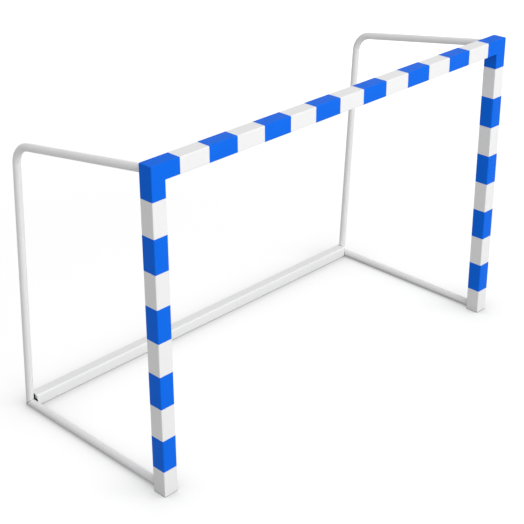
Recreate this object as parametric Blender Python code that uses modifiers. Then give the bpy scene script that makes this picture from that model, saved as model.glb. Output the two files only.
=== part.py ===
"""Mini soccer goal, 2.40 x 1.60 m clear: a banded square frame with a welded tube frame behind it.

Metres, +Z up. The goal faces -Y, stands on z = 0 and has the middle of its footprint at the
origin. Left and right are as seen from the front.
"""

import math

import bmesh
import bpy
from mathutils import Matrix, Vector

# Goal frame
CLEAR_WIDTH = 2.400
CLEAR_HEIGHT = 1.600
PROFILE = 0.080
PROFILE_WALL = 0.003
PROFILE_EDGE = 0.004
CORNER_LEG = 0.163
EDGE_STEPS = 4

# Net groove in the back of the posts and the crossbar
GROOVE_MOUTH = 0.010
GROOVE_WIDTH = 0.016
GROOVE_DEPTH = 0.008
GROOVE_LIP = 0.0025

# Foil bands: the crossbar is split into equal fields, and every second one is blue. So is each
# post, down to a plain length at its foot
BAR_FIELDS = 13
POST_BANDS = 4
FOOT_FIELD = 0.1422
FOIL = 0.0003
FOIL_GROOVE_MARGIN = 0.004

# Inserts that join the profiles
INSERT_WALL = 0.006
INSERT_REACH = 0.120
INSERT_GROOVE_ROOM = 0.001
FOOT_FLANGE = 0.004
FOOT_INSERT_HEIGHT = 0.100

# Side hoops and ground tubes: depths are from the front faces, heights from the floor
DEPTH = 1.130
TUBE = 0.040
TUBE_WALL = 0.002
HOOP_BEND_DEPTH = 1.025
HOOP_BEND_HEIGHT = 1.487
HOOP_BEND_RADIUS = 0.120
HOOP_FOOT_INSET = 0.0235
BEND_STEPS = 12
TUBE_SIDES = 32
BORE_SIDES = 16

# Plates welded to the tube ends
PLATE_THICKNESS = 0.005
PLATE_EDGE = 0.009
PLATE_CORNER = 0.004
PLATE_FLOOR_GAP = 0.001
WELD_ROOM = 0.0032

# Rear bar: the wall in each end stays open round the tubes, and a plug stands behind the wall
REAR_BAR = 0.065
REAR_BAR_WALL = 0.003
REAR_BAR_EDGE = 0.009
END_WALL = 0.003
END_WALL_ROOM = 0.009
PLUG = 0.015
BALLAST = 0.050

# Bolts, M8 with a low round head and a hex socket
BOLT = 0.008
BOLT_HEAD = 0.013
BOLT_HEAD_HEIGHT = 0.0045
BOLT_CHAMFER = 0.001
BOLT_PROUD = 0.003
BOLT_SOCKET = 0.005
BOLT_SOCKET_DEPTH = 0.0025
BOLT_SIDES = 16
HOLE_RUN = 0.025

# Net strips
HOOK_SPACING = 0.190
HOOK_REACH = 0.016
HOOK_TIP = 0.010
HOOK_THICKNESS = 0.004
STRIP_PROUD = 0.001
STRIP_END_MARGIN = 0.020

# Clearance between pieces that touch, and how far a cutter runs past what it cuts
FIT = 0.0003
PAST = 0.010

# Worked out from the sizes above
HALF = PROFILE / 2
HALF_WIDTH = CLEAR_WIDTH / 2 + PROFILE
TOP = CLEAR_HEIGHT + PROFILE
POST_X = CLEAR_WIDTH / 2 + HALF
BAR_Z = CLEAR_HEIGHT + HALF
FRONT_Y = (FOIL + FIT - DEPTH) / 2
FRAME_Y = FRONT_Y + HALF
BACK_Y = FRONT_Y + PROFILE
BAR_FIELD = 2 * (HALF_WIDTH - CORNER_LEG) / BAR_FIELDS
POST_FIELD = (TOP - CORNER_LEG - FOOT_FIELD) / (2 * POST_BANDS)
INSERT_HALF = HALF - PROFILE_WALL - FIT
INSERT_SLOT = GROOVE_WIDTH / 2 + PROFILE_WALL + INSERT_GROOVE_ROOM
INSERT_BOLT = (INSERT_SLOT + INSERT_HALF) / 2
PLATE_BOLT = (TUBE / 2 + WELD_ROOM + BOLT_HEAD / 2) / math.sqrt(2)
PLATE_HALF = PLATE_BOLT + PLATE_EDGE
PLATE_BACK_Y = BACK_Y + FIT + PLATE_THICKNESS
GROUND_BOLT_Z = TUBE + WELD_ROOM + BOLT_HEAD / 2
GROUND_PLATE_TOP = GROUND_BOLT_Z + PLATE_EDGE
FOOT_Y = FRONT_Y + DEPTH - HOOP_FOOT_INSET
BAR_END_X = POST_X - TUBE / 2 - FIT
END_WALL_X = BAR_END_X - FIT - END_WALL / 2
PLUG_X = END_WALL_X - END_WALL / 2 - FIT - PLUG / 2
REAR_BAR_Y = FRONT_Y + DEPTH - REAR_BAR / 2

SIDES = {"left": -1, "right": 1}
ALONG_X = (0.0, math.radians(90), 0.0)
ALONG_Y = (math.radians(-90), 0.0, 0.0)
UPRIGHT_OUTLINE = (math.radians(90), 0.0, 0.0)


def clear_scene():
    """Remove every object that the file opened with."""
    for obj in list(bpy.data.objects):
        bpy.data.objects.remove(obj, do_unlink=True)


def new_collection(name):
    """Add a collection to the scene."""
    collection = bpy.data.collections.new(name)
    bpy.context.scene.collection.children.link(collection)
    return collection


def paint(name, colour, roughness, metallic=0.0):
    """Make a Principled material."""
    material = bpy.data.materials.new(name)
    material.use_nodes = True
    shader = material.node_tree.nodes["Principled BSDF"]
    shader.inputs["Base Color"].default_value = (*colour, 1.0)
    shader.inputs["Roughness"].default_value = roughness
    shader.inputs["Metallic"].default_value = metallic
    material.diffuse_color = (*colour, 1.0)
    return material


def add_object(name, mesh, location=(0, 0, 0), rotation=(0, 0, 0)):
    """Put a mesh in the scene as a piece of the goal."""
    obj = bpy.data.objects.new(name, mesh)
    obj.location = location
    obj.rotation_euler = rotation
    GOAL.objects.link(obj)
    return obj


def as_cutter(obj):
    """Move an object to the cutters."""
    GOAL.objects.unlink(obj)
    CUTTERS.objects.link(obj)
    obj.hide_render = True
    obj.display_type = "WIRE"
    return obj


def mesh_from_curve(curve, join_flats):
    """Turn curve data into a closed mesh with its caps welded on, and join the flat faces if asked."""
    holder = bpy.data.objects.new(curve.name, curve)
    bpy.context.scene.collection.objects.link(holder)
    graph = bpy.context.evaluated_depsgraph_get()
    mesh = bpy.data.meshes.new_from_object(holder.evaluated_get(graph))
    bpy.data.objects.remove(holder, do_unlink=True)
    bpy.data.curves.remove(curve)
    work = bmesh.new()
    work.from_mesh(mesh)
    bmesh.ops.remove_doubles(work, verts=work.verts, dist=1e-6)
    if join_flats:
        limit = math.radians(0.5)
        bmesh.ops.dissolve_limit(work, angle_limit=limit, verts=work.verts, edges=work.edges)
    bmesh.ops.recalc_face_normals(work, faces=work.faces)
    work.to_mesh(mesh)
    work.free()
    return mesh


def prism(name, outlines, length, location, rotation=(0, 0, 0)):
    """Extrude flat outlines along local Z, half of the length each way."""
    curve = bpy.data.curves.new(name, "CURVE")
    curve.dimensions = "2D"
    curve.fill_mode = "BOTH"
    curve.extrude = length / 2
    for outline in outlines:
        spline = curve.splines.new("POLY")
        spline.points.add(len(outline) - 1)
        for point, (u, v) in zip(spline.points, outline):
            point.co = (u, v, 0.0, 1.0)
        spline.use_cyclic_u = True
    return add_object(name, mesh_from_curve(curve, True), location, rotation)


def pipe(name, path, radius, location, sides=TUBE_SIDES):
    """Sweep a solid round section along a path."""
    curve = bpy.data.curves.new(name, "CURVE")
    curve.dimensions = "3D"
    curve.bevel_depth = radius
    curve.bevel_resolution = sides // 2 - 2
    curve.use_fill_caps = True
    spline = curve.splines.new("POLY")
    spline.points.add(len(path) - 1)
    for point, place in zip(spline.points, path):
        point.co = (*place, 1.0)
    obj = add_object(name, mesh_from_curve(curve, False), location)
    obj.data.shade_smooth()
    return obj


def box(name, size, location, rotation=(0, 0, 0)):
    """Make a box of the given size about its middle."""
    work = bmesh.new()
    bmesh.ops.create_cube(work, size=1.0)
    bmesh.ops.scale(work, vec=size, verts=work.verts)
    mesh = bpy.data.meshes.new(name)
    work.to_mesh(mesh)
    work.free()
    return add_object(name, mesh, location, rotation)


def rod(name, radius, length, location, rotation=(0, 0, 0), sides=TUBE_SIDES):
    """Make a cylinder along local Z about its middle."""
    work = bmesh.new()
    bmesh.ops.create_cone(
        work, cap_ends=True, segments=sides, radius1=radius, radius2=radius, depth=length
    )
    mesh = bpy.data.meshes.new(name)
    work.to_mesh(mesh)
    work.free()
    return add_object(name, mesh, location, rotation)


def boolean(obj, other, operation):
    """Cut another object out of a piece, or join it on."""
    as_cutter(other)
    modifier = obj.modifiers.new(other.name, "BOOLEAN")
    modifier.operation = operation
    modifier.object = other
    modifier.solver = "EXACT"


def round_edges(obj, radius, keep_sharp=None):
    """Round the right-angled edges, except those whose middle keep_sharp picks out."""
    weights = obj.data.attributes.new("bevel_weight_edge", "FLOAT", "EDGE")
    for edge, weight in zip(obj.data.edges, weights.data):
        middle = sum((obj.data.vertices[i].co for i in edge.vertices), Vector()) / 2
        weight.value = 0.0 if keep_sharp and keep_sharp(middle) else 1.0
    bevel = obj.modifiers.new("rounded_edges", "BEVEL")
    bevel.limit_method = "WEIGHT"
    bevel.width = radius
    bevel.segments = EDGE_STEPS


def arc(centre, radius, start, stop, steps=EDGE_STEPS):
    """Points of an arc about a centre, angles in degrees."""
    angles = [math.radians(start + (stop - start) * i / steps) for i in range(steps + 1)]
    return [(centre[0] + radius * math.cos(a), centre[1] + radius * math.sin(a)) for a in angles]


def rounded_corners(half, radius):
    """Arcs of a rounded square: front right, back right, back left, front left."""
    inset = half - radius
    return (
        arc((inset, -inset), radius, -90, 0),
        arc((inset, inset), radius, 0, 90),
        arc((-inset, inset), radius, 90, 180),
        arc((-inset, -inset), radius, 180, 270),
    )


def profile_outlines():
    """Outer and inner outline of the frame's profile, with the net groove in its back."""
    mouth = GROOVE_MOUTH / 2
    groove = GROOVE_WIDTH / 2
    lip = HALF - GROOVE_LIP
    floor = HALF - GROOVE_DEPTH
    front_right, back_right, back_left, front_left = rounded_corners(HALF, PROFILE_EDGE)
    half_groove = [(mouth, HALF), (mouth, lip), (groove, lip), (groove, floor)]
    other_half = [(-u, v) for u, v in reversed(half_groove)]
    outer = front_right + back_right + half_groove + other_half + back_left + front_left
    inner = HALF - PROFILE_WALL
    hump = groove + PROFILE_WALL
    hump_top = floor - PROFILE_WALL
    half_inner = [(inner, -inner), (inner, inner), (hump, inner), (hump, hump_top)]
    return outer, half_inner + [(-u, v) for u, v in reversed(half_inner)]


def foil_outline():
    """Outline of a foil that wraps the profile and stops beside the net groove."""
    end = GROOVE_MOUTH / 2 + FOIL_GROOVE_MARGIN

    def wrap(offset):
        """The foil's path, this far outside the profile."""
        half = HALF + offset
        front_right, back_right, back_left, front_left = rounded_corners(half, PROFILE_EDGE + offset)
        return [(-end, half)] + back_left + front_left + front_right + back_right + [(end, half)]

    return wrap(FIT + FOIL) + wrap(FIT)[::-1]


def channel_outline():
    """Outline of the insert's lipped channel, open at the back where the groove runs."""
    inner = INSERT_HALF - INSERT_WALL
    half_outside = [
        (INSERT_SLOT, INSERT_HALF),
        (INSERT_HALF, INSERT_HALF),
        (INSERT_HALF, -INSERT_HALF),
    ]
    half_inside = [(inner, -inner), (inner, inner), (INSERT_SLOT, inner)]
    outside = half_outside + [(-u, v) for u, v in reversed(half_outside)]
    inside = [(-u, v) for u, v in reversed(half_inside)] + half_inside
    return outside + inside


def l_outline(side, half, reach):
    """L about the crossing of post and crossbar, with legs that reach this far from it."""
    inner_half = [(side * half, -reach), (side * half, half), (-side * reach, half)]
    return inner_half + [(-side * reach, -half), (-side * half, -half), (-side * half, -reach)]


def bolt_holes(name, places):
    """One cutter for the holes of several bolts that run along Y."""
    work = bmesh.new()
    for x, y, z in places:
        turn = Matrix.Translation((x, y, z)) @ Matrix.Rotation(math.radians(90), 4, "X")
        bmesh.ops.create_cone(
            work,
            cap_ends=True,
            segments=BOLT_SIDES,
            radius1=BOLT / 2 + FIT,
            radius2=BOLT / 2 + FIT,
            depth=2 * HOLE_RUN,
            matrix=turn,
        )
    mesh = bpy.data.meshes.new(name)
    work.to_mesh(mesh)
    work.free()
    return add_object(name, mesh)


def add_bolt(name, x, seat_y, z, grip):
    """Bolt whose head lies behind the seat and whose shank runs forward through the grip."""
    head = BOLT_HEAD / 2
    shank = BOLT / 2
    tip = -(grip + BOLT_PROUD)
    crown = arc((0, 0), 1.0, 90, 0, 3)
    dome = [(head * u, BOLT_HEAD_HEIGHT * (0.3 + 0.7 * v)) for u, v in crown]
    stem = [(head, 0), (shank, 0), (shank, tip + BOLT_CHAMFER), (shank - BOLT_CHAMFER, tip), (0, tip)]
    work = bmesh.new()
    verts = [work.verts.new((u, 0, w)) for u, w in dome + stem]
    for first, second in zip(verts, verts[1:]):
        work.edges.new((first, second))
    mesh = bpy.data.meshes.new(name)
    work.to_mesh(mesh)
    work.free()
    bolt = add_object(name, mesh, (x, seat_y + FIT, z), ALONG_Y)
    turn = bolt.modifiers.new("turned", "SCREW")
    turn.steps = BOLT_SIDES
    turn.render_steps = BOLT_SIDES
    turn.use_merge_vertices = True
    turn.merge_threshold = 1e-5
    socket = rod(
        name + "_socket",
        BOLT_SOCKET / math.sqrt(3),
        2 * BOLT_SOCKET_DEPTH,
        (x, seat_y + FIT + BOLT_HEAD_HEIGHT, z),
        ALONG_Y,
        sides=6,
    )
    boolean(bolt, socket, "DIFFERENCE")
    bolt.data.materials.append(STEEL)
    return bolt


def insert_bolt_places(side):
    """Where the bolts go through the backs of the post and the crossbar into the corner insert."""
    along = CORNER_LEG - HALF + INSERT_REACH / 2
    post = [(side * POST_X + sign * INSERT_BOLT, BACK_Y, BAR_Z - along) for sign in (-1, 1)]
    bar = [(side * (POST_X - along), BACK_Y, BAR_Z + sign * INSERT_BOLT) for sign in (-1, 1)]
    return post, bar


def hoop_bolt_places(side):
    """Where the bolts go through a hoop's plate."""
    signs = [(-1, -1), (-1, 1), (1, -1), (1, 1)]
    return [(side * POST_X + a * PLATE_BOLT, BACK_Y, BAR_Z + b * PLATE_BOLT) for a, b in signs]


def ground_bolt_places(side):
    """Where the bolts go through a ground tube's plate."""
    return [(side * POST_X + sign * PLATE_BOLT, BACK_Y, GROUND_BOLT_Z) for sign in (-1, 1)]


def hoop_axis():
    """Corners of the hoop's middle line in the plane of the post: plate, bend, foot."""
    return (
        Vector((0.0, BACK_Y, BAR_Z)),
        Vector((0.0, FRONT_Y + HOOP_BEND_DEPTH, HOOP_BEND_HEIGHT)),
        Vector((0.0, FOOT_Y, TUBE / 2)),
    )


def hoop_path(start_past, end_past):
    """The hoop's middle line with its bend, lengthened at either end."""
    start, corner, foot = hoop_axis()
    back = (start - corner).normalized()
    down = (foot - corner).normalized()
    half_turn = (math.pi - back.angle(down)) / 2
    middle = (back + down).normalized()
    centre = corner + middle * HOOP_BEND_RADIUS / math.cos(half_turn)
    bend = []
    for i in range(BEND_STEPS + 1):
        swing = half_turn * (2 * i / BEND_STEPS - 1)
        bend.append(centre + Matrix.Rotation(-swing, 3, "X") @ (-middle * HOOP_BEND_RADIUS))
    return [start + back * start_past, *bend, foot + down * end_past]


def mitre_box(name, side, tube_side):
    """Box that cuts a tube off at the mitre between a hoop and its ground tube."""
    _, corner, foot = hoop_axis()
    up = (corner - foot).normalized()
    forward = Vector((0.0, -1.0, 0.0))
    normal = (up - forward).normalized() * tube_side
    size = 3 * TUBE
    middle = foot + normal * (FIT / 2 - size / 2)
    tilt = math.atan2(normal.z, normal.y)
    return box(name, (size, size, size), (side * POST_X, middle.y, middle.z), (tilt, 0.0, 0.0))


def add_profiles():
    """Posts and crossbar."""
    low = FOOT_FLANGE + FIT
    high = TOP - CORNER_LEG - FIT
    for label, side in SIDES.items():
        middle = (side * POST_X, FRAME_Y, (low + high) / 2)
        post = prism(f"post_{label}", profile_outlines(), high - low, middle)
        post_bolts, _ = insert_bolt_places(side)
        holes = bolt_holes(f"post_holes_{label}", post_bolts + ground_bolt_places(side))
        boolean(post, holes, "DIFFERENCE")
        post.data.materials.append(WHITE_PAINT)
    length = 2 * (HALF_WIDTH - CORNER_LEG - FIT)
    crossbar = prism("crossbar", profile_outlines(), length, (0, FRAME_Y, BAR_Z), ALONG_X)
    bar_bolts = [place for side in SIDES.values() for place in insert_bolt_places(side)[1]]
    boolean(crossbar, bolt_holes("crossbar_holes", bar_bolts), "DIFFERENCE")
    crossbar.data.materials.append(WHITE_PAINT)


def stays_sharp(point, side, reach):
    """Whether an edge of a corner lies in a leg's open end or in the inside of the L."""
    leg_end = point.y < -reach + FIT or abs(point.x) > reach - FIT
    inside = abs(point.x + side * HALF) < FIT and abs(point.y + HALF) < FIT
    return leg_end or inside


def add_corners():
    """Blue L corners and the inserts that tie them to the profiles."""
    depth = PROFILE - 2 * PROFILE_WALL
    reach = CORNER_LEG - HALF
    for label, side in SIDES.items():
        place = (side * POST_X, FRAME_Y, BAR_Z)
        corner = prism(
            f"corner_{label}", [l_outline(side, HALF, reach)], PROFILE, place, UPRIGHT_OUTLINE
        )
        round_edges(corner, PROFILE_EDGE, lambda point, side=side: stays_sharp(point, side, reach))
        hollow = prism(
            f"corner_hollow_{label}",
            [l_outline(side, HALF - PROFILE_WALL, reach + PAST)],
            depth,
            place,
            UPRIGHT_OUTLINE,
        )
        boolean(corner, hollow, "DIFFERENCE")
        boolean(corner, bolt_holes(f"corner_holes_{label}", hoop_bolt_places(side)), "DIFFERENCE")
        corner.data.materials.append(BLUE_PAINT)
        add_corner_insert(label, side, place, reach + INSERT_REACH)


def add_corner_insert(label, side, place, reach):
    """Lipped L channel inside a corner, open at the back along the groove."""
    insert = prism(
        f"corner_insert_{label}",
        [l_outline(side, INSERT_HALF, reach)],
        2 * INSERT_HALF,
        place,
        UPRIGHT_OUTLINE,
    )
    inner = INSERT_HALF - INSERT_WALL
    core = prism(
        f"insert_core_{label}",
        [l_outline(side, inner, reach + PAST)],
        2 * inner,
        place,
        UPRIGHT_OUTLINE,
    )
    slot = prism(
        f"insert_slot_{label}",
        [l_outline(side, INSERT_SLOT, reach + PAST)],
        2 * INSERT_HALF,
        (place[0], place[1] + INSERT_HALF, place[2]),
        UPRIGHT_OUTLINE,
    )
    post_bolts, bar_bolts = insert_bolt_places(side)
    holes = bolt_holes(f"insert_holes_{label}", post_bolts + bar_bolts + hoop_bolt_places(side))
    for cutter in (core, slot, holes):
        boolean(insert, cutter, "DIFFERENCE")
    insert.data.materials.append(BARE_METAL)


def add_foot_inserts():
    """Flanged inserts in the lower ends of the posts."""
    rise = FOOT_INSERT_HEIGHT + FOOT_FLANGE / 2
    for label, side in SIDES.items():
        flange = prism(
            f"foot_insert_{label}",
            [sum(rounded_corners(HALF, PROFILE_EDGE), [])],
            FOOT_FLANGE,
            (side * POST_X, FRAME_Y, FOOT_FLANGE / 2),
        )
        channel = prism(
            f"foot_channel_{label}",
            [channel_outline()],
            rise,
            (side * POST_X, FRAME_Y, FOOT_FLANGE / 2 + rise / 2),
        )
        boolean(flange, channel, "UNION")
        boolean(flange, bolt_holes(f"foot_holes_{label}", ground_bolt_places(side)), "DIFFERENCE")
        flange.data.materials.append(FOOT_PLASTIC)


def add_band(name, length, place, rotation=(0, 0, 0)):
    """One blue foil round a profile."""
    band = prism(name, [foil_outline()], length, place, rotation)
    band.data.materials.append(BLUE_FOIL)


def add_bands():
    """Blue foils on the posts and the crossbar, numbered from the top and from the left."""
    for label, side in SIDES.items():
        for i in range(POST_BANDS):
            height = TOP - CORNER_LEG - (2 * i + 1.5) * POST_FIELD
            add_band(f"post_band_{label}_{i + 1}", POST_FIELD, (side * POST_X, FRAME_Y, height))
    for i in range(BAR_FIELDS // 2):
        x = -HALF_WIDTH + CORNER_LEG + (2 * i + 1.5) * BAR_FIELD
        add_band(f"crossbar_band_{i + 1}", BAR_FIELD, (x, FRAME_Y, BAR_Z), ALONG_X)


def add_hoops():
    """Bent side tubes with the plates that hold them to the corners."""
    for label, side in SIDES.items():
        base = (side * POST_X, 0.0, 0.0)
        hoop = pipe(f"hoop_{label}", hoop_path(PLATE_THICKNESS, TUBE), TUBE / 2, base)
        trim_size = 3 * TUBE
        trim_y = BACK_Y + FIT + PLATE_THICKNESS / 2 - trim_size / 2
        trim = box(f"hoop_trim_{label}", (trim_size,) * 3, (side * POST_X, trim_y, BAR_Z))
        boolean(hoop, trim, "DIFFERENCE")
        boolean(hoop, mitre_box(f"hoop_mitre_{label}", side, 1), "DIFFERENCE")
        plate = box(
            f"hoop_plate_{label}",
            (2 * PLATE_HALF, PLATE_THICKNESS, 2 * PLATE_HALF),
            (side * POST_X, BACK_Y + FIT + PLATE_THICKNESS / 2, BAR_Z),
        )
        round_edges(plate, PLATE_CORNER, lambda point: abs(point.y) > FIT)
        boolean(hoop, plate, "UNION")
        bore_path = hoop_path(-2 * PLATE_THICKNESS, 2 * TUBE)
        bore = pipe(f"hoop_bore_{label}", bore_path, TUBE / 2 - TUBE_WALL, base, BORE_SIDES)
        boolean(hoop, bore, "DIFFERENCE")
        boolean(hoop, bolt_holes(f"hoop_holes_{label}", hoop_bolt_places(side)), "DIFFERENCE")
        hoop.data.materials.append(TUBE_PAINT)


def add_ground_tubes():
    """Tubes on the floor from the posts to the hoops' feet."""
    for label, side in SIDES.items():
        start = BACK_Y + PLATE_THICKNESS / 2
        stop = FOOT_Y + TUBE
        tube = rod(
            f"ground_tube_{label}",
            TUBE / 2,
            stop - start,
            (side * POST_X, (start + stop) / 2, TUBE / 2),
            ALONG_Y,
        )
        tube.data.shade_smooth()
        plate = box(
            f"ground_plate_{label}",
            (2 * PLATE_HALF, PLATE_THICKNESS, GROUND_PLATE_TOP - PLATE_FLOOR_GAP),
            (
                side * POST_X,
                BACK_Y + FIT + PLATE_THICKNESS / 2,
                (GROUND_PLATE_TOP + PLATE_FLOOR_GAP) / 2,
            ),
        )
        round_edges(plate, PLATE_CORNER, lambda point: abs(point.y) > FIT)
        boolean(tube, plate, "UNION")
        bore = rod(
            f"ground_bore_{label}",
            TUBE / 2 - TUBE_WALL,
            stop - PLATE_BACK_Y + PAST,
            (side * POST_X, (PLATE_BACK_Y + stop + PAST) / 2, TUBE / 2),
            ALONG_Y,
            BORE_SIDES,
        )
        boolean(tube, bore, "DIFFERENCE")
        boolean(tube, mitre_box(f"ground_mitre_{label}", side, -1), "DIFFERENCE")
        boolean(tube, bolt_holes(f"ground_holes_{label}", ground_bolt_places(side)), "DIFFERENCE")
        tube.data.materials.append(TUBE_PAINT)


def tubes_at_foot(label, side):
    """The room that a hoop and its ground tube keep open in the end wall of the rear bar."""
    _, corner, foot = hoop_axis()
    base = (side * POST_X, 0.0, 0.0)
    up = (corner - foot).normalized()
    radius = TUBE / 2 + END_WALL_ROOM
    rising = [foot - up * TUBE, foot + up * 2 * REAR_BAR]
    lying = [foot + Vector((0.0, TUBE / 2, 0.0)), foot - Vector((0.0, 2 * REAR_BAR, 0.0))]
    return (
        pipe(f"hoop_room_{label}", rising, radius, base),
        pipe(f"ground_room_{label}", lying, radius, base),
    )


def add_rear_bar():
    """Square bar between the hoops' feet, with its plugs and its ballast."""
    half = REAR_BAR / 2
    inner = half - REAR_BAR_WALL
    bore_edge = REAR_BAR_EDGE - REAR_BAR_WALL
    outer = sum(rounded_corners(half, REAR_BAR_EDGE), [])
    bore = sum(rounded_corners(inner, bore_edge), [])
    into = REAR_BAR_WALL / 2
    wall_outline = sum(rounded_corners(half - into, REAR_BAR_EDGE - into), [])
    plug_outline = sum(rounded_corners(inner - FIT, bore_edge - FIT), [])
    bar = prism("rear_bar", [outer, bore], 2 * BAR_END_X, (0, REAR_BAR_Y, half), ALONG_X)
    for label, side in SIDES.items():
        wall_place = (side * END_WALL_X, REAR_BAR_Y, half)
        wall = prism(f"end_wall_{label}", [wall_outline], END_WALL, wall_place, ALONG_X)
        for tube_room in tubes_at_foot(label, side):
            boolean(wall, tube_room, "DIFFERENCE")
        boolean(bar, wall, "UNION")
        plug_place = (side * PLUG_X, REAR_BAR_Y, half)
        plug = prism(f"bar_plug_{label}", [plug_outline], PLUG, plug_place, ALONG_X)
        plug.data.materials.append(PLUG_PLASTIC)
    bar.data.materials.append(BAR_PAINT)
    ballast_half = PLUG_X - PLUG / 2 - FIT
    ballast_z = REAR_BAR_WALL + FIT + BALLAST / 2
    ballast = rod("ballast_rod", BALLAST / 2, 2 * ballast_half, (0, REAR_BAR_Y, ballast_z), ALONG_X)
    ballast.data.materials.append(BALLAST_STEEL)


def hook_comb(length):
    """Side view of a net strip: a spine in the groove and hooks that stand out behind it."""
    back = HALF + STRIP_PROUD
    floor = HALF - GROOVE_DEPTH + FIT
    half = length / 2
    count = int(length / HOOK_SPACING)
    first = -(count - 1) * HOOK_SPACING / 2
    points = [(-half, floor), (-half, back)]
    for i in range(count):
        w = first + i * HOOK_SPACING
        points += [
            (w - HOOK_THICKNESS, back),
            (w - HOOK_THICKNESS, HALF + HOOK_REACH),
            (w + HOOK_TIP, HALF + HOOK_REACH),
            (w + HOOK_TIP, HALF + HOOK_REACH - HOOK_THICKNESS),
            (w, HALF + HOOK_REACH - HOOK_THICKNESS),
            (w, back),
        ]
    return points + [(half, back), (half, floor)]


def add_net_strip(name, length, place, upright):
    """One plastic strip that slides in a groove, with its net hooks."""
    turn = (0.0, math.radians(-90), 0.0) if upright else (0.0, 0.0, 0.0)
    strip = prism(name, [hook_comb(length)], GROOVE_MOUTH - 2 * FIT, place, turn)
    thickness = GROOVE_DEPTH - GROOVE_LIP - 2 * FIT
    base_y = place[1] + HALF - GROOVE_DEPTH + FIT + thickness / 2
    width = GROOVE_WIDTH - 2 * FIT
    size = (width, thickness, length) if upright else (length, thickness, width)
    base = box(name + "_base", size, (place[0], base_y, place[2]))
    boolean(strip, base, "UNION")
    strip.data.materials.append(HOOK_PLASTIC)


def add_net_strips():
    """Net strips in the posts and the crossbar."""
    low = GROUND_PLATE_TOP + STRIP_END_MARGIN
    high = TOP - CORNER_LEG - STRIP_END_MARGIN
    for label, side in SIDES.items():
        middle = (side * POST_X, FRAME_Y, (low + high) / 2)
        add_net_strip(f"net_strip_{label}", high - low, middle, True)
    length = 2 * (HALF_WIDTH - CORNER_LEG - STRIP_END_MARGIN)
    add_net_strip("net_strip_top", length, (0, FRAME_Y, BAR_Z), False)


def add_bolts():
    """Bolts at the backs of the corners, the posts and the crossbar."""
    wall = PROFILE_WALL + FIT + INSERT_WALL
    plate = PLATE_THICKNESS + FIT
    for label, side in SIDES.items():
        post_bolts, bar_bolts = insert_bolt_places(side)
        for i, (x, y, z) in enumerate(post_bolts + bar_bolts):
            add_bolt(f"corner_bolt_{label}_{i + 1}", x, y, z, wall)
        for i, (x, y, z) in enumerate(hoop_bolt_places(side)):
            add_bolt(f"hoop_bolt_{label}_{i + 1}", x, y + plate, z, wall + plate)
        for i, (x, y, z) in enumerate(ground_bolt_places(side)):
            add_bolt(f"ground_bolt_{label}_{i + 1}", x, y + plate, z, wall + plate)


clear_scene()
GOAL = new_collection("mini_soccer_goal")
CUTTERS = new_collection("cutters")
WHITE_PAINT = paint("white_profile_paint", (0.86, 0.86, 0.86), 0.45)
BLUE_PAINT = paint("blue_corner_paint", (0.01, 0.16, 0.90), 0.45)
BLUE_FOIL = paint("blue_foil", (0.01, 0.16, 0.90), 0.40)
TUBE_PAINT = paint("white_tube_paint", (0.78, 0.78, 0.78), 0.40)
BAR_PAINT = paint("white_bar_paint", (0.78, 0.78, 0.78), 0.45)
BARE_METAL = paint("bare_cast_metal", (0.60, 0.61, 0.62), 0.50, 1.0)
FOOT_PLASTIC = paint("foot_plastic", (0.70, 0.70, 0.70), 0.60)
PLUG_PLASTIC = paint("plug_plastic", (0.08, 0.08, 0.085), 0.60)
HOOK_PLASTIC = paint("hook_plastic", (0.80, 0.80, 0.80), 0.50)
STEEL = paint("bolt_steel", (0.55, 0.55, 0.56), 0.35, 1.0)
BALLAST_STEEL = paint("ballast_steel", (0.20, 0.20, 0.21), 0.60, 1.0)

add_profiles()
add_corners()
add_foot_inserts()
add_bands()
add_hoops()
add_ground_tubes()
add_rear_bar()
add_net_strips()
add_bolts()
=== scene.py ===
"""Looks for the mini soccer goal: finishes, smooth tubes, welds, foils, bolts and net hooks.

Metres, +Z up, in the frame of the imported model. The goal faces -Y and stands on z = 0.
"""

from __future__ import annotations

import logging
import math
from dataclasses import dataclass, field
from enum import Enum
from typing import Any, Iterable, Sequence

import bmesh
import bpy
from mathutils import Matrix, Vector

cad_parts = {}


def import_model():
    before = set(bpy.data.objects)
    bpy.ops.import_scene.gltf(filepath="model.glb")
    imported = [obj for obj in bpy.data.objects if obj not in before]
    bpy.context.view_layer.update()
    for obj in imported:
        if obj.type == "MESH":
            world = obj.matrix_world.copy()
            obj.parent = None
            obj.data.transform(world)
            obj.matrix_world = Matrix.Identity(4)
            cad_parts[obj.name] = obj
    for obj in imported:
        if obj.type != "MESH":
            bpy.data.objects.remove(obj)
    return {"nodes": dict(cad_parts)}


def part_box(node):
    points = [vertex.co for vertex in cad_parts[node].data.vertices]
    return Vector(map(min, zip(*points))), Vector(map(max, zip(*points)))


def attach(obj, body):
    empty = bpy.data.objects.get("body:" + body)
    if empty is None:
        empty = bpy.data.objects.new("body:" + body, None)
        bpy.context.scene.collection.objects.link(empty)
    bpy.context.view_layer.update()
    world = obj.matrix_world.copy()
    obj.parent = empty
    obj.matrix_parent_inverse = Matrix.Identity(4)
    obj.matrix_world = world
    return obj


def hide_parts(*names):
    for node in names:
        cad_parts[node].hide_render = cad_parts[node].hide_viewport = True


LOG = logging.getLogger("mini_soccer_goal")
ROOT = "root"
SMOOTH_BELOW = math.radians(35)
NOISE_REACH = 0.25
WHITE = (1.0, 1.0, 1.0, 1.0)
BLACK = (0.0, 0.0, 0.0, 1.0)
Mesh = bpy.types.Mesh
Piece = bpy.types.Object
Ring = list[Vector]
Outline = list[tuple[float, float]]
Colour = tuple[float, float, float]
Scales = tuple[float, float, float]
Noise = tuple[float, float]


class Side(Enum):
    """Left and right of the goal as seen from the front."""

    LEFT = -1
    RIGHT = 1

    @property
    def label(self) -> str:
        """The side's word in the names of nodes and pieces."""
        return self.name.lower()


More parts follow.
